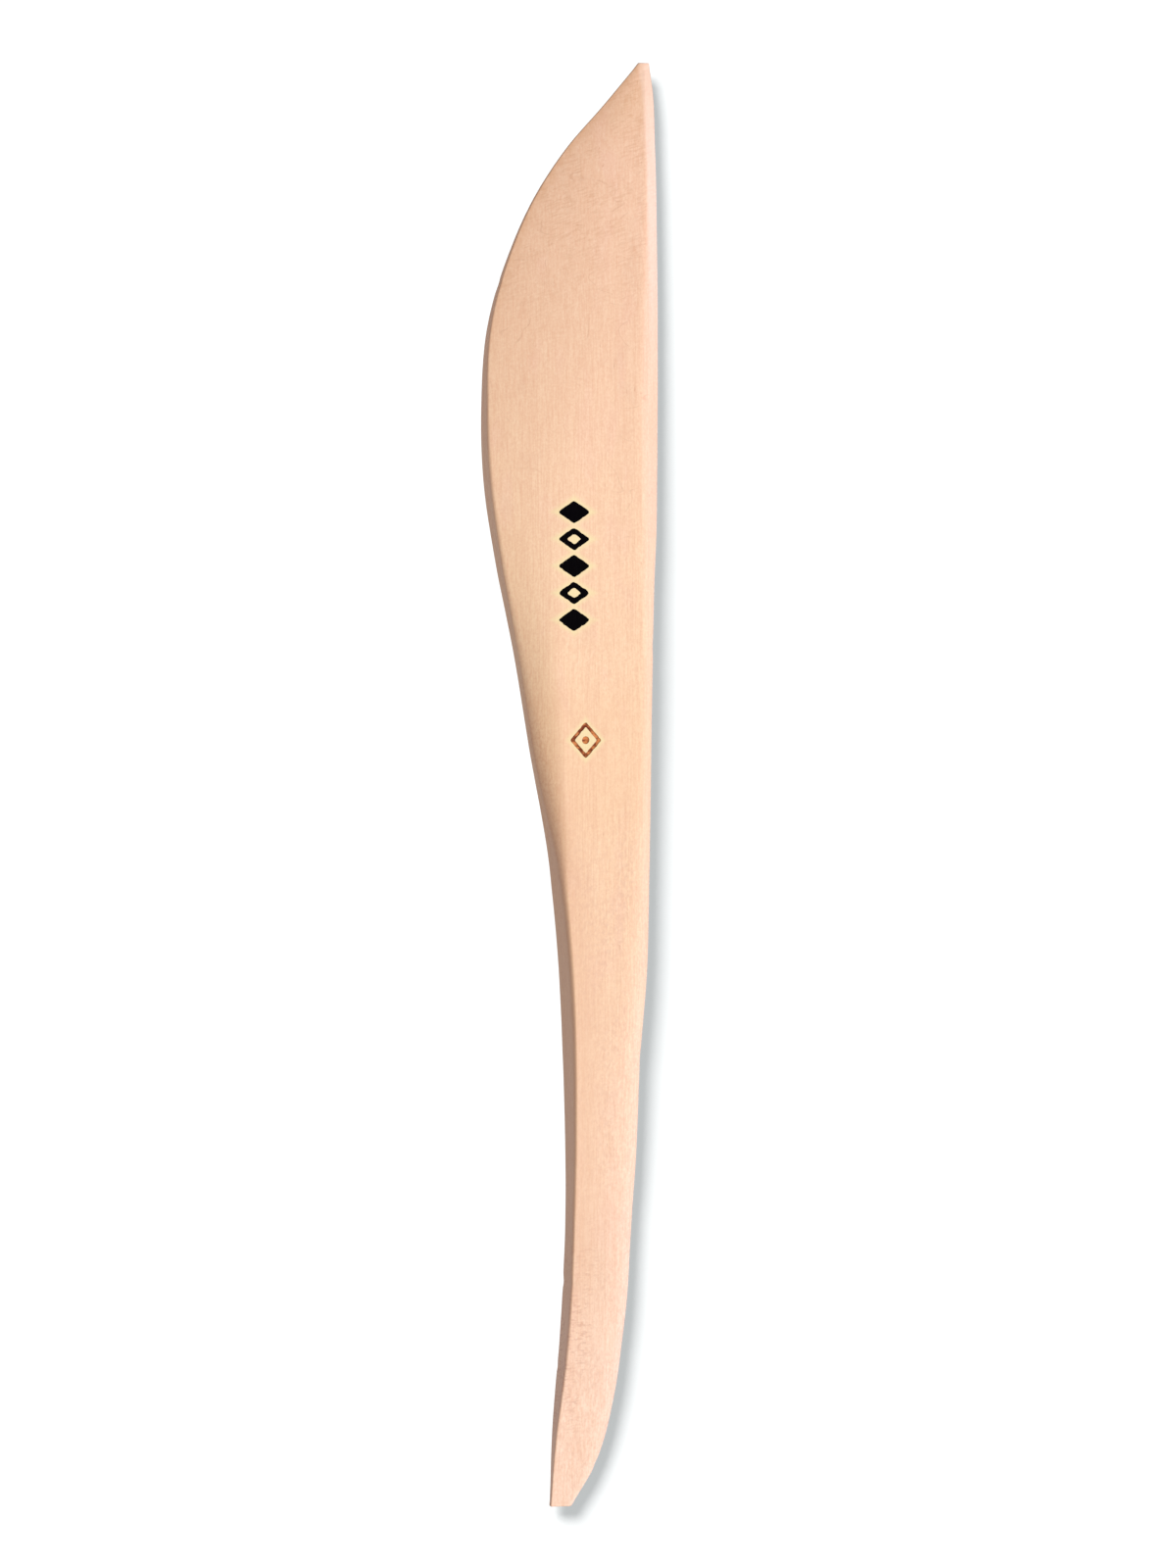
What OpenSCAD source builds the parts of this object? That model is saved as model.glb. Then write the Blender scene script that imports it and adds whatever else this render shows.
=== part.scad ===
// Wooden clay modeling tool carved from one blank: a broad knife-shaped blade, a slim curved grip and a
// narrow end that is cut off square. A row of lozenges is printed on the front, and a small one is burnt in.
// The tool lies on its back. +Z is up, +Y runs along it to the blade's tip, and the origin is on the table
// under the middle of the bounding box.

/* [Tool] */
// Length from the narrow end to the blade's tip
tool_length = 203; // [160:1:260]
// Width from the blade's cutting edge to its spine
tool_width = 25.4; // [20:0.2:32]
// Thickness of the blank, between its two flat faces
tool_thickness = 6.8; // [5:0.1:8]

/* [Edges] */
// Share of the drawn radius on the arris beside the cutting edge and along the grip
arris_softness = 1; // [0.4:0.1:1.2]
// Share of the drawn width of the bevel on the spine, which turns into the grip's rounding
bevel_softness = 1; // [0.5:0.1:1.1]

/* [Printed mark] */
// Number of lozenges in the printed row
stamp_count = 5; // [1:1:7]
// Length of the whole row, along the tool
stamp_length = 18.4; // [12:0.2:20]
// Height of each lozenge, across the tool
stamp_width = 4.8; // [3:0.1:5]
// Gap between two lozenges
stamp_gap = 0.5; // [0.3:0.1:1]
// Width of the line around each hollow lozenge
stamp_line = 0.75; // [0.3:0.05:0.8]

/* [Burnt mark] */
// Length of the burnt lozenge, along the tool
burnt_length = 5.2; // [4:0.1:6]
// Height of the burnt lozenge, across the tool
burnt_width = 4.6; // [4:0.1:5]
// Width of its line
burnt_line = 0.5; // [0.3:0.05:0.7]
// Diameter of the dot inside it
burnt_dot = 1.1; // [0.6:0.1:1.3]

/* [Relief] */
// How deep the stamps press into the wood
mark_depth = 0.2; // [0.15:0.01:0.4]
// Thickness of the ink film and of the charred layer, on the bottom of the impression
film_thickness = 0.1; // [0.05:0.01:0.14]

/* [Hidden] */

// The curves below are drawn in millimetres and stretched to the driving dimensions. The first number of
// each point is its distance from the narrow end.
drawn_length = 203;
drawn_thickness = 6.8;

// Outline on the side of the cutting edge, as the distance to the right of the middle
left_edge = [
    [0, -3.2], [9, -2.7], [24, -1.2], [42, -0.4], [60, -0.5], [77, -1.3], [90, -2.75], [105, -5.75],
    [120, -8.3], [134, -11.05], [144, -12.5], [155, -12.9], [166, -12.1], [175, -9.5], [185, -4.8],
    [191, -0.65], [197, 4.7], [203, 9.8]
];
// Outline on the side of the spine
right_edge = [
    [0, -0.1], [2, 1.2], [5, 3.05], [9, 4.6], [15, 6.05], [24, 7.4], [30, 8.1], [37, 8.5], [50, 9.35],
    [62, 9.8], [76, 10.9], [90, 11.2], [115, 11.6], [127, 11.9], [138, 12.35], [150, 12.5], [172, 12.55],
    [192, 12.25], [199, 12], [203, 11.4]
];
// Thickness of the narrow end and the grip, which is the same all the way across
grip_thickness = [[0, 0.9], [5, 1.5], [10, 2.5], [16, 3.9], [24, 4.6], [42, 4.7], [53, 5.7], [66, 6.8]];
// Thickness at the left edge, at the foot of the arris
edge_thickness = concat(grip_thickness, [
    [86, 6.8], [91, 6.1], [96, 4.8], [101, 3.8], [107, 3.1], [113, 2.9], [120, 3], [127, 3.4], [134, 3.8],
    [142, 4.1], [148, 3.9], [155, 3.3], [163, 2.4], [172, 1.5], [180, 0.9], [190, 0.5], [203, 0.4]
]);
// Thickness of the body of the tool, between the arris and the bevel
core_thickness = concat(grip_thickness, [
    [100, 6.8], [150, 6.8], [165, 5.9], [180, 4.1], [193, 2.2], [203, 0.6]
]);
// How far the arris beside the left edge is rounded, across the face
arris_width = [
    [0, 0.15], [12, 0.3], [40, 0.4], [76, 0.6], [86, 0.8], [92, 1.3], [98, 1.7], [106, 1.5], [114, 1],
    [122, 0.8], [130, 0.6], [140, 0.5], [152, 0.4], [163, 0.3], [175, 0.25], [203, 0.15]
];
// How far the same rounding reaches down the wall
arris_drop = [
    [0, 0.15], [12, 0.3], [40, 0.6], [76, 1], [86, 1.1], [92, 1.2], [98, 1], [106, 0.7], [114, 0.5],
    [122, 0.4], [140, 0.4], [152, 0.4], [163, 0.3], [175, 0.25], [203, 0.15]
];
// Width of the slope that the shoulder and the blade are thinned by, from the left edge inwards
slope_width = [
    [0, 1.2], [86, 1.6], [92, 2.2], [98, 2.8], [105, 4], [111, 4.7], [118, 5.3], [125, 6.7], [132, 8.6],
    [139, 10.8], [147, 13.4], [155, 15.4], [165, 17.5], [180, 14.5], [203, 0.4]
];
// Width of the bevel on the spine, and of the rounding that it turns into on the grip
bevel_width = [
    [0, 0.6], [9, 2.1], [24, 3.6], [45, 4.4], [75, 4.4], [92, 3.4], [120, 2.4], [132, 2.9],
    [143, 3.2], [165, 3], [175, 2.4], [188, 1.7], [198, 1.4], [203, 0.8]
];
// How round the bevel is: 1 is a flat chamfer and 2 is a quarter of an ellipse
bevel_roundness = [[0, 2], [118, 2], [140, 1.5], [165, 1.3], [203, 1.1]];

// Number of sections along the tool, and how strongly they crowd towards its ends
section_count = 88;
section_crowding = 0.6;
// Steps around the arris, up the slope and around the bevel
arris_steps = 3;
slope_steps = 5;
bevel_steps = 6;
// Smallest share of a width that is left flat
least_flat = 0.06;
// Least width of the slope between the arris and the flat
least_slope = 0.1;
// Share of the thickness that stays upright on the rim of the spine
rim_share = 0.2;

// Centres of the marks, as distances to the right of the middle and from the narrow end
stamp_centre = [-0.6, 132];
burnt_centre = [1.1, 107.6];
// Radius of a mark's corners, and how many sides its round shapes have
mark_corner = 0.18;
corner_facets = 24;
dot_facets = 32;
// How far the stamps' cutting shapes stand above the face
above_face = 1;

// A smooth curve through points with uneven gaps: cubic pieces whose slope at a point is that of the
// parabola through it and its two neighbours.
function gap(points, i) = points[i + 1][0] - points[i][0];
function rise(points, i) = (points[i + 1][1] - points[i][1]) / gap(points, i);
function slope(points, i) =
    i == 0 ? rise(points, 0)
    : i == len(points) - 1 ? rise(points, i - 1)
    : (gap(points, i) * rise(points, i - 1) + gap(points, i - 1) * rise(points, i))
        / (gap(points, i - 1) + gap(points, i));
function piece(points, at, i = 0) =
    i == len(points) - 2 || at < points[i + 1][0] ? i : piece(points, at, i + 1);
function curve(points, at) =
    let (
        i = piece(points, at),
        t = (at - points[i][0]) / gap(points, i),
        start_slope = slope(points, i) * gap(points, i),
        end_slope = slope(points, i + 1) * gap(points, i)
    )
    points[i][1] * (2 * t^3 - 3 * t^2 + 1) + start_slope * (t^3 - 2 * t^2 + t)
        + points[i + 1][1] * (3 * t^2 - 2 * t^3) + end_slope * (t^3 - t^2);

// Half of a thickness curve, never more than half of the blank
function half_thickness(points, at) = min(curve(points, at), drawn_thickness) / 2;

// Share of the slope's height that is reached at a distance from the left edge: it flattens steadily
function climb(inward, run) = 1 - (1 - min(1, inward / run))^2;

// Upper half of the section at a distance from the narrow end: up the wall, round the arris, up the slope,
// over the flat and down the bevel. The arris is cut off the lower end of the slope. Each point is the
// distance to the right and above the middle.
function upper_half(at) =
    let (
        left = curve(left_edge, at),
        right = curve(right_edge, at),
        room = (right - left) * (1 - least_flat),
        edge = half_thickness(edge_thickness, at),
        core = max(edge, half_thickness(core_thickness, at)),
        round_in = min(curve(arris_width, at) * arris_softness, room / 2),
        round_down = min(curve(arris_drop, at) * arris_softness, edge * (1 - least_flat)),
        bevel = min(curve(bevel_width, at) * bevel_softness, room - round_in),
        run = max(round_in + least_slope, min(curve(slope_width, at), room - bevel)),
        height = core - edge,
        rim = core * rim_share,
        power = 2 / curve(bevel_roundness, at)
    )
    concat(
        [for (i = [0 : arris_steps])
            let (turn = 90 * i / arris_steps, inward = round_in * (1 - cos(turn)))
            [left + inward, edge + height * climb(inward, run) - round_down * (1 - sin(turn))]],
        [for (i = [1 : slope_steps])
            let (inward = round_in + (run - round_in) * i / slope_steps)
            [left + inward, edge + height * climb(inward, run)]],
        [for (i = [0 : bevel_steps])
            let (turn = 90 * i / bevel_steps)
            [right - bevel * (1 - sin(turn)^power), rim + (core - rim) * cos(turn)^power]]
    );

// Sections along the tool, closer together towards its ends
section_at = [
    for (i = [0 : section_count])
        let (part = i / section_count)
        drawn_length * (part - section_crowding * sin(360 * part) / (2 * PI))
];
halves = [for (at = section_at) upper_half(at)];
half_points = len(halves[0]);
ring_points = 2 * half_points;

// The drawn curves' furthest points to the left and to the right
drawn_left = min([for (half = halves) half[0][0]]);
drawn_right = max([for (half = halves) half[half_points - 1][0]]);

// A drawn position turned into one on the tool: across, along and above the table
function across(x) = (x - (drawn_left + drawn_right) / 2) * tool_width / (drawn_right - drawn_left);
function along(at) = (at - drawn_length / 2) * tool_length / drawn_length;
function above(z) = tool_thickness * (1 / 2 + z / drawn_thickness);

// One closed section: the upper half from left to right, then its mirror image from right to left
function ring(i) =
    concat(
        [for (point = halves[i]) [across(point[0]), along(section_at[i]), above(point[1])]],
        [for (j = [half_points - 1 : -1 : 0])
            [across(halves[i][j][0]), along(section_at[i]), above(-halves[i][j][1])]]
    );

// The carved shape, as a skin of triangles over the sections
module blank() {
    last = section_count * ring_points;
    skin = [
        for (i = [0 : section_count - 1])
            for (j = [0 : ring_points - 1])
                let (
                    here = i * ring_points,
                    next = here + ring_points,
                    beside = (j + 1) % ring_points
                )
                each [
                    [here + j, next + j, next + beside],
                    [here + j, next + beside, here + beside]
                ]
    ];
    polyhedron(
        points = [for (i = [0 : section_count]) each ring(i)],
        faces = concat(
            [[for (j = [0 : ring_points - 1]) j]],
            skin,
            [[for (j = [ring_points - 1 : -1 : 0]) last + j]]
        ),
        convexity = 6
    );
}

// A lozenge with slightly rounded corners
module lozenge(width, length) {
    offset(r = mark_corner, $fn = corner_facets)
        offset(delta = -mark_corner)
            polygon([[width / 2, 0], [0, length / 2], [-width / 2, 0], [0, -length / 2]]);
}

module hollow_lozenge(width, length, line) {
    difference() {
        lozenge(width, length);
        offset(delta = -line) lozenge(width, length);
    }
}

// Outline of the printed row: solid and hollow lozenges in turn, solid at both ends
module stamp_outline() {
    pitch = (stamp_length + stamp_gap) / stamp_count;
    lozenge_length = pitch - stamp_gap;
    translate([across(stamp_centre[0]), along(stamp_centre[1])])
        for (i = [0 : stamp_count - 1])
            translate([0, (i - (stamp_count - 1) / 2) * pitch])
                if (i % 2 == 0) lozenge(stamp_width, lozenge_length);
                else hollow_lozenge(stamp_width, lozenge_length, stamp_line);
}

// Outline of the burnt mark: a thin lozenge around a dot
module burnt_outline() {
    translate([across(burnt_centre[0]), along(burnt_centre[1])]) {
        hollow_lozenge(burnt_width, burnt_length, burnt_line);
        circle(d = burnt_dot, $fn = dot_facets);
    }
}

// The wood, with both marks pressed into its front face
module wood_body() {
    color([0.94, 0.78, 0.65])
        difference() {
            blank();
            translate([0, 0, tool_thickness - mark_depth])
                linear_extrude(mark_depth + above_face) {
                    stamp_outline();
                    burnt_outline();
                }
        }
}

// Black ink on the bottom of the printed impressions
module ink_stamp() {
    color([0.08, 0.07, 0.07])
        translate([0, 0, tool_thickness - mark_depth])
            linear_extrude(film_thickness) stamp_outline();
}

// Charred wood on the bottom of the burnt impression
module burnt_mark() {
    color([0.5, 0.25, 0.1])
        translate([0, 0, tool_thickness - mark_depth])
            linear_extrude(film_thickness) burnt_outline();
}

wood_body();
ink_stamp();
burnt_mark();
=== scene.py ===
"""The looks of a carved hardwood clay modeling tool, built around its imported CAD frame.

The wooden body is lofted again from the measures of the CAD body's own sections, finely enough to take the
marks of hand work. The printed and burnt marks are cut into it along the CAD marks' outlines.
"""

import math

import bmesh
import bpy
import numpy as np
from mathutils import Matrix, Vector, noise
from mathutils.geometry import tessellate_polygon


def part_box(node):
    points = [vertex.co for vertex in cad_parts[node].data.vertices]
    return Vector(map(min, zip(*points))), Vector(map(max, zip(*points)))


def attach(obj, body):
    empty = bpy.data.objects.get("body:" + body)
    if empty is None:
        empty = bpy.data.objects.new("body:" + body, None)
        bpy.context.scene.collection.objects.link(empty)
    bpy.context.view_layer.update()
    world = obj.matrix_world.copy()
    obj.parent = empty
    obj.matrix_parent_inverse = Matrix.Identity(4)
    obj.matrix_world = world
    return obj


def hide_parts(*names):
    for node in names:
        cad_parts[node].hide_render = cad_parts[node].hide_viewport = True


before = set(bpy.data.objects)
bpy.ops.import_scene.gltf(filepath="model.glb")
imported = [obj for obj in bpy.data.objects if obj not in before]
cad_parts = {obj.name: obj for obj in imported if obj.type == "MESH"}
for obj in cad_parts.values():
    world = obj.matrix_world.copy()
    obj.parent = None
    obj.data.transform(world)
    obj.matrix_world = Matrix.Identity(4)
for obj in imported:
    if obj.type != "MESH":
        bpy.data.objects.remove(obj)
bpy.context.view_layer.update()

MM = 0.001
# Keeps a length of zero from being divided by
TINY = 1e-12
WOOD, INK, BURN = "wood_body", "ink_stamp", "burnt_mark"
low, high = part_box(WOOD)
middle_z = (low.z + high.z) / 2
length = high.y - low.y


# ------------------------------------------------------------------ small helpers

def smooth(known, values, wanted):
    """Values at the wanted places, on cubic pieces whose slopes come from each point's two neighbours."""
    gaps = np.diff(known)
    rises = np.diff(values) / gaps
    inner = (gaps[1:] * rises[:-1] + gaps[:-1] * rises[1:]) / (gaps[:-1] + gaps[1:])
    slopes = np.concatenate([rises[:1], inner, rises[-1:]])
    i = np.clip(np.searchsorted(known, wanted, side="right") - 1, 0, len(gaps) - 1)
    t = (wanted - known[i]) / gaps[i]
    return (
        values[i] * (2 * t**3 - 3 * t**2 + 1)
        + slopes[i] * gaps[i] * (t**3 - 2 * t**2 + t)
        + values[i + 1] * (3 * t**2 - 2 * t**3)
        + slopes[i + 1] * gaps[i] * (t**3 - t**2)
    )


def hump(distance, width):
    """1 at distance 0, falling smoothly to almost nothing at about twice the width."""
    return np.exp(-((distance / width) ** 2))


def ripple(places, stretch, seed):
    """Smooth noise from -1 to 1 at each place, with stretch giving the size of a wave along x, y and z."""
    scaled = places / np.array(stretch) + seed
    return np.array([noise.noise(Vector(p)) for p in scaled])


def new_piece(name, mesh, node):
    """A piece on the one body, which stands for a CAD node."""
    piece = bpy.data.objects.new(name, mesh)
    bpy.context.scene.collection.objects.link(piece)
    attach(piece, "root")
    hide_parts(node)
    return piece


# ------------------------------------------------------------------ the body's sections, read back from CAD

MEASURES = ("left", "round_in", "foot", "edge", "run", "core", "shoulder", "right", "rim", "power")
# How many points of a half section make its arris and its bevel, and which one lies in the bevel's middle
ARRIS_POINTS = 4
BEVEL_POINTS = 7
BEVEL_MIDDLE = 3
# Decimal places of a metre that tell one section from the next, and one point from the next
SECTION_DIGITS = 6
POINT_DIGITS = 7
# Stands in for the slope's width where a section is too flat to have a slope
LEAST_RUN = MM
# The bevel's middle point lies at this angle round its curve
MIDDLE_TURN = math.pi / 4


def climb(inward, run):
    """Share of the slope's height that is reached at a distance in from the cutting edge."""
    return 1 - (1 - np.clip(inward / run, 0, 1)) ** 2


def measure_sections():
    """The measures of every section that the CAD body was lofted through, by their distance along the tool.

    They are read from the back, which has no marks. The front is its mirror image.
    """
    points = np.array([v.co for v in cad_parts[WOOD].data.vertices])
    points = points[points[:, 2] < middle_z]
    places = np.round(points[:, 1], SECTION_DIGITS)
    at, rows = [], []
    for place in np.unique(places):
        half = np.unique(np.round(points[places == place], POINT_DIGITS), axis=0)[:, [0, 2]]
        if len(half) < ARRIS_POINTS + BEVEL_POINTS:
            continue
        half[:, 1] = middle_z - half[:, 1]
        arris, slope, bevel = half[:ARRIS_POINTS], half[ARRIS_POINTS:-BEVEL_POINTS], half[-BEVEL_POINTS:]
        share = (bevel[BEVEL_MIDDLE, 0] - bevel[0, 0]) / (bevel[-1, 0] - bevel[0, 0])
        left, core = arris[0, 0], bevel[0, 1]
        run = slope[-1, 0] - left if len(slope) else LEAST_RUN
        reached = climb(arris[-1, 0] - left, run)
        at.append(place)
        rows.append([
            left,
            arris[-1, 0] - left,
            arris[0, 1],
            (arris[-1, 1] - core * reached) / (1 - reached),
            run,
            core,
            bevel[0, 0],
            bevel[-1, 0],
            bevel[-1, 1],
            math.log(share) / math.log(math.sin(MIDDLE_TURN)),
        ])
    return np.array(at), dict(zip(MEASURES, np.array(rows).T))


section_at, measured = measure_sections()


def measure(name, at):
    """One of the body's measures at the given distances along the tool."""
    return smooth(section_at, measured[name], at)


# ------------------------------------------------------------------ the wooden body

# Sections along the tool, and steps round each of them
ROWS = 560
END_CROWDING = 0.5
WALL_STEPS = 8
ARRIS_STEPS = 8
FACE_STEPS = 34
FACE_CROWDING = 1.3
BEVEL_STEPS = 16
RIM_STEPS = 2
# The rounding of each end, and the angles round it that get a section
NARROW_END_ROUNDING = 0.26 * MM
TIP_ROUNDING = 0.08 * MM
END_TURNS = (90, 65, 40, 15)
# Depth, size along x, y and z, and seed of the slow and the quick waves that hand work leaves
WANDER = (0.07 * MM, (30 * MM, 22 * MM, 12 * MM), 3.1)
WAVE = (0.05 * MM, (9 * MM, 5 * MM, 5 * MM), 11.7)
# Over this length from each end the waves die down to a small share
WEAR_FADE = MM
WEAR_AT_END = 0.1
# Small dents from use: distance from the narrow end, which edge, depth and width, in millimetres
NICKS = (
    (171.5, "left", 0.07, 0.9),
    (121.0, "right", 0.07, 1.1),
    (63.0, "right", 0.07, 1.4),
    (31.5, "left", 0.11, 0.8),
    (19.6, "left", 0.06, 0.5),
    (6.0, "right", 0.09, 0.7),
)


def stations():
    """Distances along the tool, closer together at its ends, with a few more for each end's rounding."""
    part = np.linspace(0, 1, ROWS)
    crowded = low.y + length * (part - END_CROWDING * np.sin(2 * np.pi * part) / (2 * np.pi))
    crowded = crowded[(crowded > low.y + NARROW_END_ROUNDING) & (crowded < high.y - TIP_ROUNDING)]
    ends = 1 - np.sin(np.radians(END_TURNS))
    narrow_end = low.y + NARROW_END_ROUNDING * ends
    tip = (high.y - TIP_ROUNDING * ends)[::-1]
    return np.concatenate([narrow_end, crowded, tip])


def half_section(at):
    """Upper half of the sections as arrays (section, point), from the wall's foot to the spine's rim."""
    shape = {name: measure(name, at)[:, None] for name in MEASURES}
    turn = np.linspace(0, np.pi / 2, ARRIS_STEPS + 1)
    inward = shape["round_in"] * (1 - np.cos(turn))
    height = shape["core"] - shape["edge"]
    arris_x = shape["left"] + inward
    arris_z = shape["foot"] + (shape["edge"] - shape["foot"]) * np.sin(turn)
    arris_z = arris_z + height * climb(inward, shape["run"])
    start = shape["left"] + shape["round_in"]
    part = np.linspace(0, 1, FACE_STEPS + 1)[1:-1] ** FACE_CROWDING
    face_x = start + (shape["shoulder"] - start) * part
    face_z = shape["edge"] + height * climb(face_x - shape["left"], shape["run"])
    turn = np.linspace(0, np.pi / 2, BEVEL_STEPS + 1)
    bevel_x = shape["shoulder"] + (shape["right"] - shape["shoulder"]) * np.sin(turn) ** shape["power"]
    bevel_z = shape["rim"] + (shape["core"] - shape["rim"]) * np.clip(np.cos(turn), 0, 1) ** shape["power"]
    return np.hstack([arris_x, face_x, bevel_x]), np.hstack([arris_z, face_z, bevel_z])


def face_height(x, y):
    """Height of the front face above the table between the arris and the bevel, before any wear."""
    edge, core = measure("edge", y), measure("core", y)
    return middle_z + edge + (core - edge) * climb(x - measure("left", y), measure("run", y))


def body_grid():
    """Points of the body as an array (section, point around it, xyz)."""
    at = stations()
    x, z = half_section(at)
    rim = np.linspace(1, -1, RIM_STEPS + 2)[1:-1]
    wall = np.linspace(-1, 1, WALL_STEPS + 2)[1:-1]
    rim_x = np.repeat(x[:, -1:], len(rim), 1)
    wall_x = np.repeat(x[:, :1], len(wall), 1)
    around_x = np.hstack([x, rim_x, x[:, ::-1], wall_x])
    around_z = np.hstack([z, z[:, -1:] * rim, -z[:, ::-1], z[:, :1] * wall])
    around_y = np.repeat(at[:, None], around_x.shape[1], 1)
    return np.stack([around_x, around_y, middle_z + around_z], 2)


def grid_normals(grid):
    """Outward directions across a closed grid of sections, each in its own section's plane."""
    along = np.gradient(grid, axis=0)
    around = np.roll(grid, -1, 1) - np.roll(grid, 1, 1)
    normal = np.cross(around, along)
    normal[:, :, 1] = 0
    return normal / np.maximum(np.linalg.norm(normal, axis=2, keepdims=True), TINY)


def wear(points):
    """How far in the rasp and the scraper left the surface at each point."""
    depth = np.zeros(len(points))
    for deepest, size, seed in (WANDER, WAVE):
        depth += deepest * (0.5 + 0.5 * ripple(points, size, seed))
    return depth


def hand_work(grid):
    """Moves the surface in, never out, as tools and use leave it."""
    depth = wear(grid.reshape(-1, 3)).reshape(grid.shape[:2])
    for y, side, deep, wide in NICKS:
        centre = low.y + y * MM
        edge_x = measure(side, np.array([centre]))[0]
        away = np.hypot(grid[:, :, 1] - centre, grid[:, :, 0] - edge_x)
        depth += deep * MM * hump(away, wide * MM)
    from_narrow, from_tip = grid[:, :, 1] - low.y, high.y - grid[:, :, 1]
    depth = depth * np.clip(np.minimum(from_narrow, from_tip) / WEAR_FADE, WEAR_AT_END, 1)
    for away, rounding in ((from_narrow, NARROW_END_ROUNDING), (from_tip, TIP_ROUNDING)):
        turned = np.clip(1 - away / rounding, 0, 1)
        depth += rounding * (1 - np.sqrt(1 - turned**2))
    return grid - grid_normals(grid) * depth[:, :, None]


def mesh_from_grid(name, grid):
    """A closed mesh over a grid of sections, with a face at each end."""
    rows, columns = grid.shape[:2]
    index = np.arange(rows * columns).reshape(rows, columns)
    beside = np.roll(index, -1, 1)
    quads = np.stack([index[:-1], beside[:-1], beside[1:], index[1:]], 2).reshape(-1, 4)
    mesh = bpy.data.meshes.new(name)
    ends = [index[0][::-1].tolist(), index[-1].tolist()]
    mesh.from_pydata(grid.reshape(-1, 3).tolist(), [], quads.tolist() + ends)
    mesh.update()
    return mesh


# ------------------------------------------------------------------ the marks' outlines

# How the marks' outlines are worn: step between points, how ragged, how often eased, and the first's seed
INK_WEAR = (0.08 * MM, 0.075 * MM, 14, 20)
BURN_WEAR = (0.07 * MM, 0.05 * MM, 6, 60)
LEAST_STEPS = 12
# Size, share and seed step of the two ripples in a ragged line
RAGGED_RIPPLES = ((0.5 * MM, 1, 0), (0.2 * MM, 0.5, 5))
# How far a pocket goes below its CAD mark, and how its rim flares near the face
POCKET_DEPTH = 0.12 * MM
FLARE_DEPTH = 0.06 * MM
FLARE_WIDTH = 0.08 * MM
# Room between a mark and the floor and sides of its pocket
FLOOR_ROOM = 0.001 * MM
SIDE_ROOM = 0.002 * MM
# How far the ink's top lies below the blank's face, and how its edge is eased
INK_SUNK = 0.02 * MM
INK_EASED = 0.03 * MM
# How far the burn's rim lies below the blank's face, and how far down and in from it the middle starts
BURN_SUNK = 0.06 * MM
BURN_HOLLOW = 0.04 * MM
BURN_SLOPE = 0.11 * MM
# Points less than this above a pocket's floor stay on it
ON_FLOOR = 0.02 * MM
# Two points closer than this are the same point
SAME = MM / 1000
# A face whose normal has a z above this faces up
LEVEL = 0.9
# Edges sharper than these angles stay sharp
WOOD_SHARP = 38
MARK_SHARP = 25


def mark_loops(node):
    """Closed outlines of a CAD mark's upper face, as arrays of points in x and y."""
    bm = bmesh.new()
    bm.from_mesh(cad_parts[node].data)
    bmesh.ops.remove_doubles(bm, verts=bm.verts, dist=SAME)
    upper = {f for f in bm.faces if f.normal.z > LEVEL}
    rim = [e for e in bm.edges if sum(f in upper for f in e.link_faces) == 1]
    after = {}
    for edge in rim:
        face = next(f for f in edge.link_faces if f in upper)
        loop = next(c for c in face.loops if c.edge == edge)
        after[loop.vert] = loop.link_loop_next.vert
    loops = []
    while after:
        first = next(iter(after))
        walk, here = [], first
        while here in after:
            walk.append(here.co.xy.to_tuple())
            here = after.pop(here)
        loops.append(np.array(walk))
    bm.free()
    return loops


def worn_loop(loop, step, ragged, easing, seed):
    """The loop at even steps, its corners eased and its line made slightly ragged."""
    closed = np.vstack([loop, loop[:1]])
    run = np.concatenate([[0], np.cumsum(np.linalg.norm(np.diff(closed, axis=0), axis=1))])
    count = max(LEAST_STEPS, int(run[-1] / step))
    at = np.linspace(0, run[-1], count, endpoint=False)
    even = np.stack([np.interp(at, run, closed[:, i]) for i in (0, 1)], 1)
    for _ in range(easing):
        even = (np.roll(even, 1, 0) + 2 * even + np.roll(even, -1, 0)) / 4
    out = loop_normals(even)
    spots = np.hstack([even, np.zeros((count, 1))])
    push = sum(share * ripple(spots, (size,) * 3, seed + more) for size, share, more in RAGGED_RIPPLES)
    return even + out * (ragged * push)[:, None]


def worn_marks(node, step, ragged, easing, seed):
    """All the worn outlines of a CAD mark, each with a seed of its own."""
    return [worn_loop(loop, step, ragged, easing, seed + i) for i, loop in enumerate(mark_loops(node))]


def loop_normals(loop):
    """Directions out of the filled side of a loop that runs with the fill on its left."""
    along = np.roll(loop, -1, 0) - np.roll(loop, 1, 0)
    out = np.stack([along[:, 1], -along[:, 0]], 1)
    return out / np.maximum(np.linalg.norm(out, axis=1, keepdims=True), TINY)


def area(loop):
    """Signed area inside a loop, positive where the loop is the outline of a figure and not a hole."""
    after = np.roll(loop, -1, 0)
    return float(np.sum(loop[:, 0] * after[:, 1] - after[:, 0] * loop[:, 1]) / 2)


def figures(loops):
    """The loops sorted into filled figures: each outline with the holes that lie in it."""
    outlines = [loop for loop in loops if area(loop) > 0]
    holes = [loop for loop in loops if area(loop) < 0]
    found = []
    for outline in outlines:
        lo, hi = outline.min(0), outline.max(0)
        inside = [h for h in holes if np.all(h.min(0) > lo) and np.all(h.max(0) < hi)]
        found.append([outline] + inside)
    return found


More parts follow.
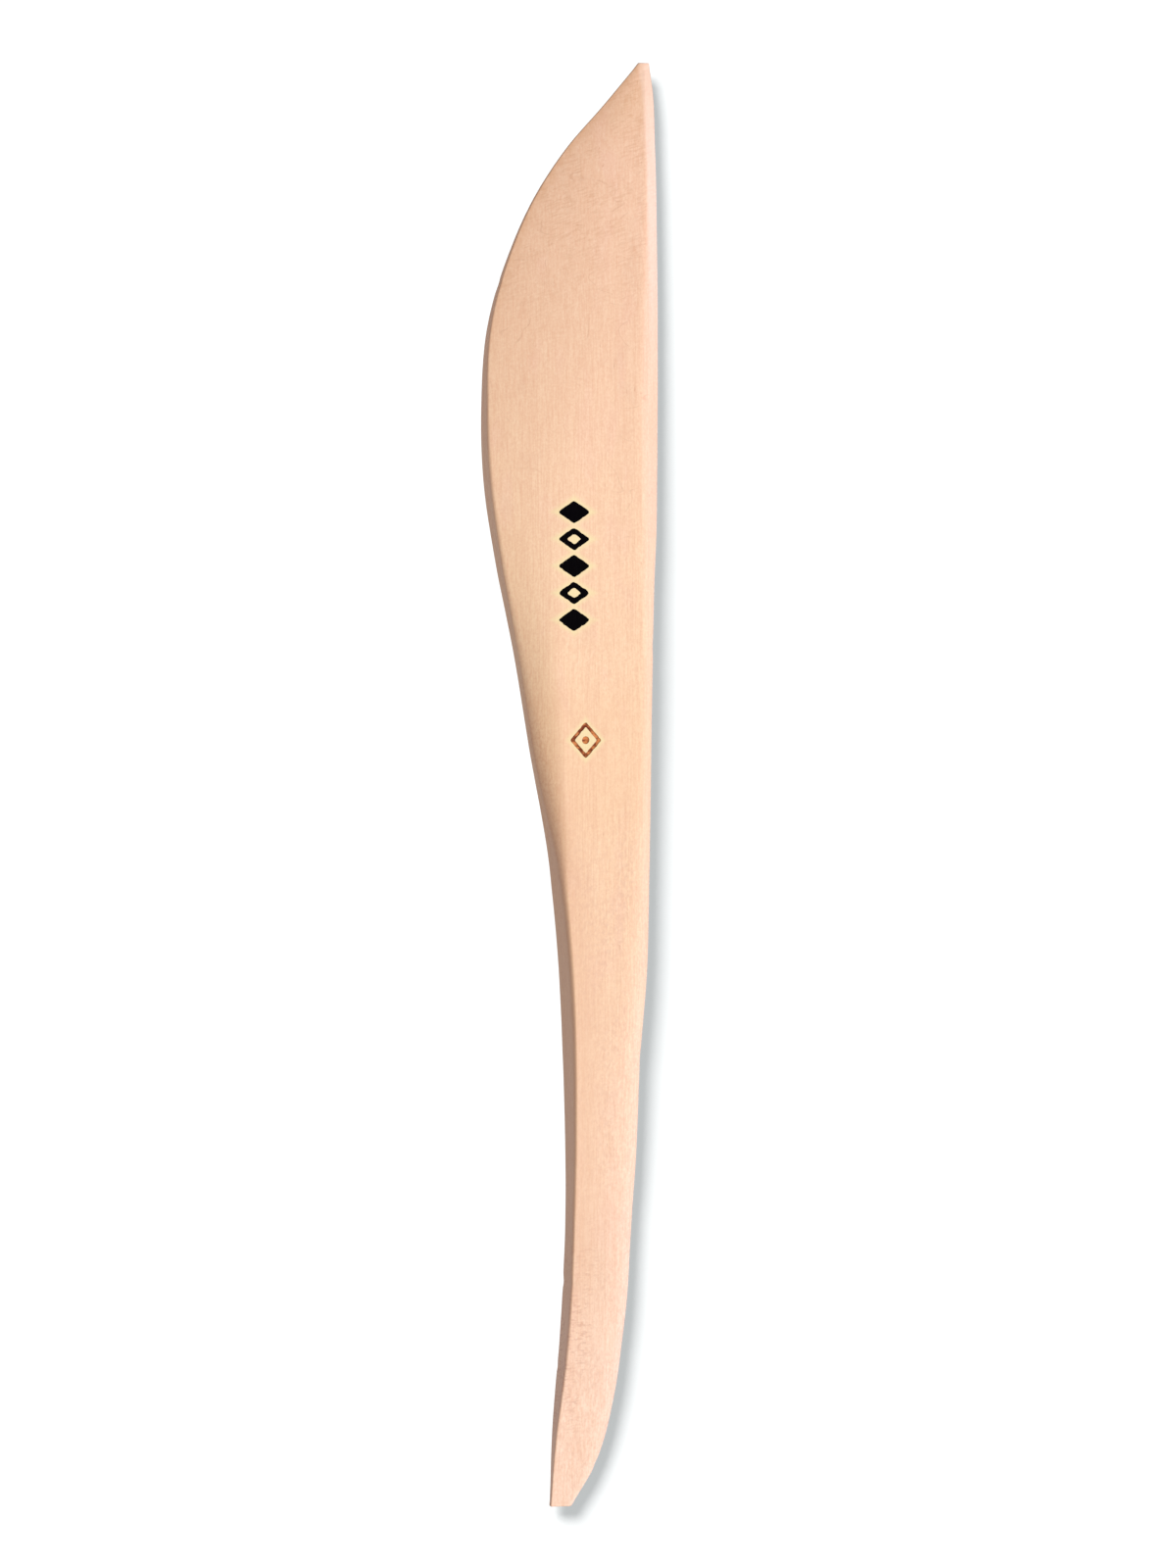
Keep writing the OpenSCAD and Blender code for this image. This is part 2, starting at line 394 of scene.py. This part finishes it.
def add_figure(bm, loops, levels):
    """Adds a closed solid over one figure. Each level is (z, how far in from the outline), bottom first."""
    rings = []
    for z, inset in levels:
        flat = [loop - loop_normals(loop) * inset for loop in loops]
        rings.append([[bm.verts.new((*p, z)) for p in loop] for loop in flat])
    for lower, upper in zip(rings, rings[1:]):
        for a, b in zip(lower, upper):
            for i in range(len(a)):
                j = (i + 1) % len(a)
                bm.faces.new((a[i], a[j], b[j], b[i]))
    for ring in (rings[0], rings[-1]):
        corners = [v for part in ring for v in part]
        for triangle in tessellate_polygon([[v.co for v in part] for part in ring]):
            bm.faces.new([corners[i] for i in triangle])


def plate(name, loops, levels):
    """A mesh of closed solids over all the figures that the loops make."""
    bm = bmesh.new()
    for figure in figures(loops):
        add_figure(bm, figure, levels)
    bmesh.ops.recalc_face_normals(bm, faces=bm.faces)
    mesh = bpy.data.meshes.new(name)
    bm.to_mesh(mesh)
    bm.free()
    return mesh


def pocket(loops):
    """A cutter that follows the outlines down to the pockets' floor and flares at the face."""
    levels = [(mark_floor, 0), (high.z - FLARE_DEPTH, 0), (high.z + MM, -FLARE_WIDTH)]
    return plate("cutter", loops, levels)


def cut(piece, cutter_mesh):
    """Cuts a mesh out of a piece for good."""
    cutter = bpy.data.objects.new("cutter", cutter_mesh)
    bpy.context.scene.collection.objects.link(cutter)
    change = piece.modifiers.new("cut", "BOOLEAN")
    change.operation = "DIFFERENCE"
    change.solver = "MANIFOLD"
    change.object = cutter
    bpy.context.view_layer.update()
    whole = piece.evaluated_get(bpy.context.evaluated_depsgraph_get())
    mesh = bpy.data.meshes.new_from_object(whole)
    piece.modifiers.clear()
    piece.data = mesh
    bpy.data.objects.remove(cutter)


def follow_face(mesh):
    """Lowers a mark's points, but not its floor's, by as much as the wood's face is below the blank's."""
    points = np.array([v.co for v in mesh.vertices])
    on_face = points.copy()
    on_face[:, 2] = face_height(points[:, 0], points[:, 1])
    drop = high.z - on_face[:, 2] + wear(on_face)
    points[:, 2] -= np.where(points[:, 2] > mark_floor + ON_FLOOR, drop, 0)
    mesh.vertices.foreach_set("co", points.ravel())
    mesh.update()


def soften(mesh, sharp_angle):
    """Shades a mesh smoothly, apart from its edges sharper than an angle in degrees."""
    mesh.shade_smooth()
    mesh.set_sharp_from_angle(angle=math.radians(sharp_angle))


# Names of the values that the meshes keep for their shaders
FROM_EDGE = "from_edge"
FROM_SPINE = "from_spine"
FROM_RIM = "from_rim"


def keep_distances_across(mesh):
    """Keeps on each point how far, in millimetres, it lies from either edge, for the wood's shader."""
    points = np.array([v.co for v in mesh.vertices])
    for name, side in ((FROM_EDGE, "left"), (FROM_SPINE, "right")):
        away = np.abs(points[:, 0] - measure(side, points[:, 1])) / MM
        mesh.attributes.new(name, "FLOAT", "POINT").data.foreach_set("value", away.astype(np.float32))


def keep_distance_from_rim(mesh, rim_z):
    """Keeps 0 on the points of a sunken piece's rim and 1 on those of its lower middle, for its shader."""
    inner = [0.0 if abs(v.co.z - rim_z) < SAME else 1.0 for v in mesh.vertices]
    mesh.attributes.new(FROM_RIM, "FLOAT", "POINT").data.foreach_set("value", inner)


def carved_body():
    """The wooden body, with a pocket for each of the marks."""
    piece = new_piece("carved_body", mesh_from_grid("carved_body", hand_work(body_grid())), WOOD)
    for loops in (ink_loops, burn_loops):
        cut(piece, pocket(loops))
    soften(piece.data, WOOD_SHARP)
    keep_distances_across(piece.data)
    return piece


def printed_lozenges():
    """The ink films, almost level with the wood around them."""
    top = high.z - INK_SUNK
    levels = [(mark_floor + FLOOR_ROOM, SIDE_ROOM), (top - INK_EASED, SIDE_ROOM), (top, INK_EASED)]
    piece = new_piece("printed_lozenges", plate("printed_lozenges", ink_loops, levels), INK)
    follow_face(piece.data)
    soften(piece.data, MARK_SHARP)
    return piece


def burnt_lozenge():
    """The charred wood, which sinks from its rim to its middle."""
    rim = high.z - BURN_SUNK
    levels = [(mark_floor + FLOOR_ROOM, SIDE_ROOM), (rim, SIDE_ROOM), (rim - BURN_HOLLOW, BURN_SLOPE)]
    piece = new_piece("burnt_lozenge", plate("burnt_lozenge", burn_loops, levels), BURN)
    keep_distance_from_rim(piece.data, rim)
    follow_face(piece.data)
    soften(piece.data, MARK_SHARP)
    return piece


ink_loops = worn_marks(INK, *INK_WEAR)
burn_loops = worn_marks(BURN, *BURN_WEAR)
mark_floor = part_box(INK)[0].z - POCKET_DEPTH

body = carved_body()
ink = printed_lozenges()
burn = burnt_lozenge()


# ------------------------------------------------------------------ materials

# Where along the tool the shoulder, the warmth round the burnt mark and the middle of the grip lie
SHOULDER_Y = -4 * MM
BURN_Y = 3 * MM
GRIP_Y = -38 * MM
# How far from the narrow end the middle of the chatter lies
CHATTER_MIDDLE = 25 * MM
# How far, in millimetres, the wood is paler around the ink and around the burn
INK_HALO = 1.1
BURN_HALO = 0.9
# A lozenge this near to the longest one's length belongs to the row
MOST_OF = 0.9


class Nodes:
    """A material's node tree, with short calls for the nodes used here.

    A value is a number or another node's output. Sizes and depths are in millimetres.
    """

    def __init__(self, name):
        """Starts a new material."""
        self.material = bpy.data.materials.new(name)
        self.material.use_nodes = True
        self.tree = self.material.node_tree
        self.shader = self.tree.nodes["Principled BSDF"]
        self.place = self.add("ShaderNodeTexCoord").outputs["Object"]

    def add(self, kind, **settings):
        """A new node with its settings."""
        node = self.tree.nodes.new(kind)
        for name, value in settings.items():
            setattr(node, name, value)
        return node

    def link(self, value, socket):
        """Gives a socket its value."""
        if isinstance(value, bpy.types.NodeSocket):
            self.tree.links.new(value, socket)
        else:
            socket.default_value = value

    def math(self, operation, a, b=0.0):
        """The result of an operation on one or two values."""
        node = self.add("ShaderNodeMath", operation=operation)
        self.link(a, node.inputs[0])
        self.link(b, node.inputs[1])
        return node.outputs[0]

    def times(self, first, *others):
        """The product of all the values."""
        for other in others:
            first = self.math("MULTIPLY", first, other)
        return first

    def gap(self, value, centre):
        """How far a value is from a centre, on either side."""
        return self.math("ABSOLUTE", self.math("SUBTRACT", value, centre))

    def stretched(self, size, turn=0.0):
        """Coordinates in which a wave of the given size in millimetres is one unit long."""
        node = self.add("ShaderNodeMapping", vector_type="TEXTURE")
        self.link(self.place, node.inputs["Vector"])
        node.inputs["Rotation"].default_value = (0, 0, math.radians(turn))
        node.inputs["Scale"].default_value = [s * MM for s in size]
        return node.outputs["Vector"]

    def noise(self, size, detail=2.0, rough=0.5, warp=0.0, turn=0.0):
        """Noise from 0 to 1, with waves of a size in millimetres along x, y and z, turned by degrees."""
        node = self.add("ShaderNodeTexNoise")
        self.link(self.stretched(size, turn), node.inputs["Vector"])
        node.inputs["Scale"].default_value = 1.0
        node.inputs["Detail"].default_value = detail
        node.inputs["Roughness"].default_value = rough
        node.inputs["Distortion"].default_value = warp
        return node.outputs["Fac"]

    def between(self, value, start, end, low=0.0, high=1.0):
        """low where value is under start, high over end, and a smooth change between."""
        node = self.add("ShaderNodeMapRange", interpolation_type="SMOOTHSTEP")
        self.link(value, node.inputs["Value"])
        node.inputs["From Min"].default_value = start
        node.inputs["From Max"].default_value = end
        node.inputs["To Min"].default_value = low
        node.inputs["To Max"].default_value = high
        return node.outputs["Result"]

    def mix(self, share, a, b):
        """Colour a with a share of colour b."""
        node = self.add("ShaderNodeMix", data_type="RGBA")
        colours_in = [socket for socket in node.inputs if socket.type == "RGBA"]
        self.link(share, node.inputs["Factor"])
        self.link(a, colours_in[0])
        self.link(b, colours_in[1])
        return next(socket for socket in node.outputs if socket.type == "RGBA")

    def axis(self, name):
        """Each point's X, Y or Z in metres."""
        node = self.add("ShaderNodeSeparateXYZ")
        self.link(self.place, node.inputs[0])
        return node.outputs[name]

    def attribute(self, name):
        """A value that the mesh keeps on its points."""
        return self.add("ShaderNodeAttribute", attribute_name=name).outputs["Fac"]

    def stain(self, colour, share, tone):
        """The colour with a share of a screen tone mixed in."""
        return self.mix(share, colour, linear(*tone))

    def bump(self, height, depth):
        """A surface direction that follows a height, for a depth in millimetres."""
        node = self.add("ShaderNodeBump")
        self.link(height, node.inputs["Height"])
        node.inputs["Distance"].default_value = depth * MM
        return node.outputs["Normal"]

    def finish(self, colour, roughness, normal=None, specular=None):
        """Sets up the shader and gives the material."""
        if specular is not None:
            self.shader.inputs["Specular IOR Level"].default_value = specular
        self.link(colour, self.shader.inputs["Base Color"])
        self.link(roughness, self.shader.inputs["Roughness"])
        if normal is not None:
            self.link(normal, self.shader.inputs["Normal"])
        return self.material


def linear(red, green, blue):
    """A screen colour, from 0 to 255, as the linear values that a shader takes (the sRGB rule)."""
    shares = [value / 255 for value in (red, green, blue)]
    return (*(c / 12.92 if c <= 0.04045 else ((c + 0.055) / 1.055) ** 2.4 for c in shares), 1.0)


def near_lozenges(n, loops, reach):
    """1 on and in the lozenges of a row along Y, fading to 0 at reach millimetres from them.

    All of them have the first one's size and stand at an even pitch, so one formula serves the whole row.
    """
    outlines = [figure[0] for figure in figures(loops)]
    longest = max(np.ptp(outline[:, 1]) for outline in outlines)
    row = [outline for outline in outlines if np.ptp(outline[:, 1]) > MOST_OF * longest]
    first = min(row, key=lambda outline: outline[:, 1].min())
    half_x, half_y = np.ptp(first, axis=0) / 2
    start_x, start_y = first.min(0)
    end_y = max(outline[:, 1].max() for outline in row)
    steps = len(row) - 1
    pitch = (end_y - start_y - 2 * half_y) / steps if steps else 1.0
    x = n.math("DIVIDE", n.gap(n.axis("X"), start_x + half_x), half_x)
    place = n.math("DIVIDE", n.math("SUBTRACT", n.axis("Y"), start_y + half_y), pitch)
    nearest = n.math("MINIMUM", n.math("MAXIMUM", n.math("ROUND", place), 0), steps)
    y = n.times(n.gap(place, nearest), pitch / half_y)
    across = half_x * half_y / math.hypot(half_x, half_y)
    away = n.times(n.math("SUBTRACT", n.math("ADD", x, y), 1), across / MM)
    return n.between(away, 0, reach, 1, 0)


def bare_tone(n):
    """The wood's broad colour: paler and rosier towards the narrow end as a painted highlight, tan at the
    tip, with slow streaks and smudges.
    """
    y = n.axis("Y")
    # Paler and rosier towards the narrow end: a painted highlight for the brighter light that falls on that
    # end.
    colour = n.mix(n.between(y, low.y, 0), linear(252, 219, 191), linear(254, 217, 175))
    colour = n.stain(colour, n.between(y, 0, high.y), (246, 205, 172))
    streaks = n.noise((3.2, 70, 3.2), 3, 0.55, 0.3)
    colour = n.stain(colour, n.between(streaks, 0.42, 0.68, 0, 0.22), (240, 194, 158))
    blush = n.noise((3.5, 11, 3.5), 2, 0.5, 0.4)
    colour = n.stain(colour, n.between(blush, 0.5, 0.72, 0, 0.24), (249, 200, 178))
    smudges = n.noise((5, 7, 5), 3, 0.55, 0.5)
    return n.stain(colour, n.between(smudges, 0.56, 0.74, 0, 0.16), (226, 190, 160))


def fine_grain(n, colour):
    """Adds long and short threads, a speckle and a few dark pores. Also returns the surface's height."""
    threads = n.noise((0.25, 9, 0.25), 2, 0.6, 0.15)
    short = n.noise((0.24, 1.3, 0.24), 2, 0.6)
    speckle = n.noise((0.3, 0.36, 0.3), 2, 0.65)
    pores = n.noise((0.3, 1.6, 0.3), 1, 0.5)
    colour = n.stain(colour, n.between(threads, 0.36, 0.68, 0, 0.36), (234, 182, 144))
    colour = n.stain(colour, n.between(short, 0.42, 0.7, 0, 0.26), (230, 174, 138))
    colour = n.stain(colour, n.between(speckle, 0.38, 0.7, 0, 0.24), (226, 172, 140))
    colour = n.stain(colour, n.between(speckle, 0.3, 0.5, 0.13, 0), (255, 230, 206))
    colour = n.stain(colour, n.between(pores, 0.76, 0.82, 0, 0.35), (190, 128, 92))
    height = n.math("SUBTRACT", n.times(threads, 0.5), n.times(pores, 0.5))
    return colour, n.math("ADD", height, n.times(speckle, 0.4))


def rubbing(n, y, patches):
    """Share of the faint slanted strokes that work has rubbed into the blade near its tip."""
    strokes = n.noise((1.5, 0.3, 1.5), 2, 0.6, 0.3, turn=20)
    near_tip = n.between(y, high.y - 50 * MM, high.y - 15 * MM)
    return n.times(near_tip, patches, n.between(strokes, 0.42, 0.66, 0, 0.32))


def scratches(n, y):
    """Share of faint curved hairlines on the blade, which run where a slow noise passes its middle value."""
    line = n.between(n.gap(n.noise((9, 6, 9), 1, 0.4, 0.6), 0.5), 0.002, 0.008, 1, 0)
    where = n.between(n.noise((5, 5, 5), 2, 0.6), 0.5, 0.62)
    return n.times(line, where, n.between(y, 20 * MM, 50 * MM, 0, 0.26))


def worn_shoulder(n, y, from_edge):
    """Share of a grimy speckle that use has left on the soft shoulder between the grip and the blade."""
    near = n.between(n.gap(y, SHOULDER_Y), 8 * MM, 22 * MM, 1, 0)
    grime = n.between(n.noise((0.3, 0.5, 0.3), 2, 0.6), 0.43, 0.62, 0, 0.27)
    return n.times(near, n.between(from_edge, 0.8, 3.4, 1, 0), grime)


def chatter(n, y, from_edge, patches):
    """Share of the short strokes across the tool that a blade left beside the edge near the narrow end."""
    strokes = n.noise((0.9, 0.3, 0.9), 2, 0.6, 0.1, turn=4)
    near = n.between(n.gap(y, low.y + CHATTER_MIDDLE), 9 * MM, 19 * MM, 1, 0)
    beside = n.between(from_edge, 2.2, 4.6, 1, 0)
    return n.times(near, beside, patches, n.between(strokes, 0.46, 0.66, 0, 0.42))


def handled(n, y):
    """Share of a fine blotchy grime that fingers have rubbed into the grip."""
    blotches = n.between(n.noise((0.45, 0.8, 0.45), 3, 0.6), 0.42, 0.64)
    patches = n.between(n.noise((4, 9, 4), 2, 0.5), 0.34, 0.6, 0.4, 1)
    return n.times(blotches, patches, n.between(y, -12 * MM, 4 * MM, 0.34, 0))


def tip_grime(n, y, from_edge):
    """Share of the clay stain on the last of the tip, away from its cutting edge."""
    near_tip = n.between(y, high.y - 14 * MM, high.y - 3 * MM, 0, 0.22)
    return n.times(near_tip, n.between(from_edge, 0.8, 3.2, 0.2, 1))


def painted_bevel_highlight(n, y):
    """Share of a painted highlight: paler wood along the spine's bevel, on the tip half of the blade."""
    # Paler wood along the bevel, painted in for the light that the bevel catches.
    beside = n.between(n.attribute(FROM_SPINE), 1.4, 2.1, 0.38, 0)
    return n.times(beside, n.between(y, high.y - 50 * MM, high.y - 22 * MM))


def round_burn(n, y):
    """Share of the warmth that the hot stamp left in the wood around the burnt mark."""
    return n.between(n.gap(y, BURN_Y), 6 * MM, 14 * MM, 0.17, 0)


def wall_streaks(n, from_edge):
    """Share of the dark streaks that run along the narrow wall beside the cutting edge."""
    streaks = n.between(n.noise((4, 7, 0.35), 3, 0.6), 0.46, 0.64, 0, 0.1)
    return n.times(n.between(from_edge, 0.05, 0.3, 1, 0), streaks)


def painted_grip_edge_shade(n, y, from_edge):
    """Share of a painted shade, in tan, along the grip's left edge, where the face rounds off towards it."""
    # Darker tan near the left edge, painted in for the shade of the face's rounding.
    near = n.between(n.gap(y, GRIP_Y), 26 * MM, 44 * MM, 1, 0)
    return n.times(near, n.between(from_edge, 1.2, 6, 0.5, 0))


def browned_edge(n, y, from_edge):
    """Share of the brown that clay has left along the cutting edge towards the tip."""
    beside = n.between(from_edge, 0.1, 1.9, 0.56, 0)
    blotches = n.between(n.noise((0.6, 1.2, 0.6), 2, 0.6), 0.3, 0.6, 0.3, 1)
    return n.times(beside, n.between(y, 50 * MM, 84 * MM), blotches)


def marks_and_painted_light(n, colour):
    """Adds what making, handling and use have left on the wood, and a painted shade and a painted highlight,
    each a share of a tone.
    """
    y = n.axis("Y")
    from_edge = n.attribute(FROM_EDGE)
    patches = n.between(n.noise((3, 4, 3), 2, 0.6), 0.34, 0.58)
    marks = (
        (rubbing(n, y, patches), (208, 156, 116)),
        (scratches(n, y), (196, 146, 112)),
        (worn_shoulder(n, y, from_edge), (206, 136, 90)),
        (chatter(n, y, from_edge, patches), (196, 140, 114)),
        (handled(n, y), (222, 176, 148)),
        (tip_grime(n, y, from_edge), (208, 160, 104)),
        # A painted highlight along the spine's bevel towards the tip.
        (painted_bevel_highlight(n, y), (255, 226, 206)),
        (round_burn(n, y), (238, 188, 140)),
        (wall_streaks(n, from_edge), (168, 112, 84)),
        # A painted shade along the grip's left edge, where the face rounds off.
        (painted_grip_edge_shade(n, y, from_edge), (234, 188, 150)),
        (browned_edge(n, y, from_edge), (226, 176, 134)),
    )
    for share, tone in marks:
        colour = n.stain(colour, share, tone)
    return colour


def end_grain(n, colour):
    """Adds the darker, pitted wood that a cut across the grain shows at the two ends."""
    facing = n.add("ShaderNodeSeparateXYZ")
    n.link(n.add("ShaderNodeNewGeometry").outputs["Normal"], facing.inputs[0])
    across = n.between(n.math("ABSOLUTE", facing.outputs["Y"]), 0.55, 0.85)
    pits = n.between(n.noise((0.16, 0.16, 0.16), 2, 0.6), 0.5, 0.7, 0, 0.5)
    colour = n.stain(colour, n.times(across, 0.4), (232, 182, 146))
    return n.stain(colour, n.times(across, pits), (168, 112, 80))


def pressed_halo(n):
    """Share of the paler wood around the marks on the front, where the stamps pressed it."""
    halo = n.math("MAXIMUM", near_lozenges(n, ink_loops, INK_HALO), near_lozenges(n, burn_loops, BURN_HALO))
    uneven = n.between(n.noise((1.2, 1.2, 1.2), 2), 0.3, 0.6, 0.7, 0.95)
    return n.times(halo, uneven, n.between(n.axis("Z"), middle_z, high.z - MM))


def wood():
    """Bare close-grained hardwood, with the marks of making and use, and a painted shade and a painted
    highlight.
    """
    n = Nodes("bare_hardwood")
    colour, height = fine_grain(n, bare_tone(n))
    colour = end_grain(n, marks_and_painted_light(n, colour))
    colour = n.stain(colour, pressed_halo(n), (245, 225, 170))
    roughness = n.between(height, 0.2, 0.5, 0.55, 0.66)
    return n.finish(colour, roughness, n.bump(height, 0.018), specular=0.4)


def printed_ink():
    """Black ink soaked into the grain, browner and thinner along a few pores."""
    n = Nodes("printed_ink")
    thin = n.noise((0.18, 1.2, 0.18), 2, 0.6)
    colour = n.mix(n.between(thin, 0.66, 0.84, 0, 0.4), linear(3, 1, 3), linear(36, 20, 14))
    return n.finish(colour, n.between(thin, 0.3, 0.7, 0.5, 0.65), n.bump(thin, 0.02), specular=0.02)


def scorched():
    """Wood burnt by a hot stamp: orange brown, darker in pools and where the stamp's edges bit."""
    n = Nodes("scorched_wood")
    pools = n.noise((0.9, 0.9, 0.9), 2, 0.5)
    colour = n.mix(n.between(pools, 0.4, 0.6), linear(220, 136, 78), linear(124, 52, 18))
    burr = n.noise((0.22, 0.3, 0.22), 2, 0.6)
    colour = n.stain(colour, n.between(burr, 0.5, 0.7, 0, 0.4), (120, 52, 20))
    colour = n.stain(colour, n.between(n.attribute(FROM_RIM), 0, 0.9, 0.75, 0), (116, 46, 14))
    fibres = n.noise((0.12, 0.6, 0.12), 3, 0.6)
    return n.finish(colour, 0.72, n.bump(fibres, 0.03), specular=0.2)


body.data.materials.clear()
body.data.materials.append(wood())
ink.data.materials.append(printed_ink())
burn.data.materials.append(scorched())


# ------------------------------------------------------------------ stage, light and camera

# Half the floor's width in metres, and its two tones
FLOOR_REACH = 12.0
FLOOR_TONES = ((0.88, 0.88, 0.88, 1), (0.9, 0.9, 0.9, 1))
FLOOR_ROUGHNESS = 0.9
WORLD_COLOUR = (1, 0.89, 0.93, 1)
WORLD_STRENGTH = 0.352
# The camera's lean in degrees, its distance, the height of its view and where it aims beside the middle
TILT = 16.5
DISTANCE = 1.2
FRAME_HEIGHT = 220.3 * MM
AIM_RIGHT = 2.48 * MM
AIM_UP = -0.04 * MM
SENSOR = 36
CLIP_NEAR = 0.01
CLIP_FAR = 100


def floor_piece():
    """A wide pale floor, at the height that the tool rests on."""
    mesh = bpy.data.meshes.new("floor")
    corners = [(-1, -1), (1, -1), (1, 1), (-1, 1)]
    mesh.from_pydata([(x * FLOOR_REACH, y * FLOOR_REACH, low.z) for x, y in corners], [], [(0, 1, 2, 3)])
    piece = bpy.data.objects.new("floor", mesh)
    bpy.context.scene.collection.objects.link(piece)
    n = Nodes("pale_floor")
    tone = n.noise((400, 400, 400), 2)
    mesh.materials.append(n.finish(n.mix(tone, *FLOOR_TONES), FLOOR_ROUGHNESS))
    return piece


def group(name, *pieces):
    """A collection used only to say which pieces a light falls on."""
    collection = bpy.data.collections.new(name)
    for piece in pieces:
        collection.objects.link(piece)
    return collection


def sun(name, falls_on, strength, spread, azimuth, elevation, tint=(1, 1, 1)):
    """Soft directional light on some pieces only. Azimuths count from +X towards +Y, all in degrees."""
    lamp = bpy.data.lights.new(name, "SUN")
    lamp.energy = strength
    lamp.color = tint
    lamp.angle = math.radians(spread)
    light = bpy.data.objects.new(name, lamp)
    bpy.context.scene.collection.objects.link(light)
    a, e = math.radians(azimuth), math.radians(elevation)
    towards = Vector((math.cos(a) * math.cos(e), math.sin(a) * math.cos(e), math.sin(e)))
    light.rotation_euler = towards.to_track_quat("Z", "Y").to_euler()
    light.light_linking.receiver_collection = falls_on
    return light


def camera_piece():
    """A long lens over the front face, leaning to the cutting edge's side, with the tool left of centre."""
    data = bpy.data.cameras.new("camera")
    data.sensor_width = SENSOR
    data.lens = data.sensor_width / 2 * DISTANCE / (FRAME_HEIGHT / 2)
    data.clip_start, data.clip_end = CLIP_NEAR, CLIP_FAR
    piece = bpy.data.objects.new("camera", data)
    bpy.context.scene.collection.objects.link(piece)
    tilt = math.radians(TILT)
    right = Vector((math.cos(tilt), 0, math.sin(tilt)))
    back = Vector((-math.sin(tilt), 0, math.cos(tilt)))
    centre = (low + high) / 2 + right * AIM_RIGHT + Vector((0, AIM_UP, 0))
    turned = Matrix((right, Vector((0, 1, 0)), back)).transposed()
    piece.matrix_world = Matrix.Translation(centre + back * DISTANCE) @ turned.to_4x4()
    return piece


floor = floor_piece()
on_tool = group("lit_tool", body, ink, burn)
on_floor = group("lit_floor", floor)
sun("key", on_tool, strength=2.4, spread=40, azimuth=-40, elevation=58, tint=(1, 1.04, 1.02))
sun("rim", on_tool, strength=0.74, spread=30, azimuth=-5, elevation=14, tint=(1, 0.92, 1.66))
sun("floor_side", on_floor, strength=2.7, spread=22, azimuth=138, elevation=46)
overhead = sun(
    "floor_overhead", on_floor, strength=0.924, spread=10, azimuth=0, elevation=90, tint=(0.79, 1, 0.956)
)
overhead.data.use_shadow = False
bpy.context.scene.camera = camera_piece()
for piece in (body, ink, burn, floor):
    piece.visible_diffuse = False

world = bpy.data.worlds.new("studio")
world.use_nodes = True
background = world.node_tree.nodes["Background"]
background.inputs["Color"].default_value = WORLD_COLOUR
background.inputs["Strength"].default_value = WORLD_STRENGTH
bpy.context.scene.world = world
bpy.context.scene.view_settings.view_transform = "Standard"
